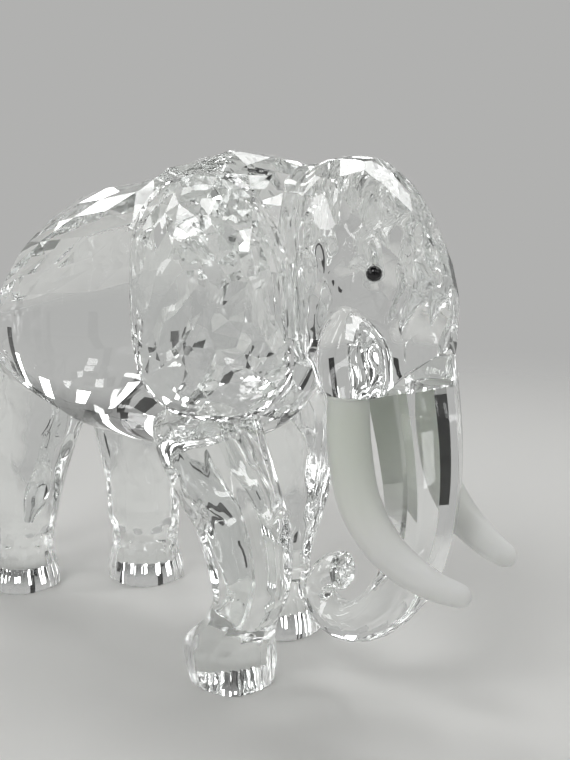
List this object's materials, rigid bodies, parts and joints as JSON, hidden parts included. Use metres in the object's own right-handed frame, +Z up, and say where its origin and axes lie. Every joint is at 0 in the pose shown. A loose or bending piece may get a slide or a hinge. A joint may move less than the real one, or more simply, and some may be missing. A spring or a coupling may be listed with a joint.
{
  "type": "crystal elephant figurine",
  "caption": "Walking elephant figurine of bonded clear cut-crystal pieces, with large faceted ears, a curled trunk, frosted tusks and black eyes.",
  "frame": {"origin": "on the surface it stands on, under the middle of the object's bounding box", "axes": "+Z up; the elephant faces -Y, so +Y runs from the trunk to the tail; its right side is on -X"},
  "size_m": [0.0534, 0.1384, 0.0975],
  "materials": {
    "clear_crystal": "polished",
    "frosted_crystal": "frosted",
    "black_bead": "polished"
  },
  "bodies": {
    "root": {"body": "clear_crystal", "head": "clear_crystal", "trunk": "clear_crystal", "ear_right": "clear_crystal", "ear_left": "clear_crystal", "tusk_right": "frosted_crystal", "tusk_left": "frosted_crystal", "eye_right": "black_bead", "eye_left": "black_bead", "leg_front_right": "clear_crystal", "leg_front_left": "clear_crystal", "leg_rear_right": "clear_crystal", "leg_rear_left": "clear_crystal", "tail": "clear_crystal"}
  },
  "joints": []
}
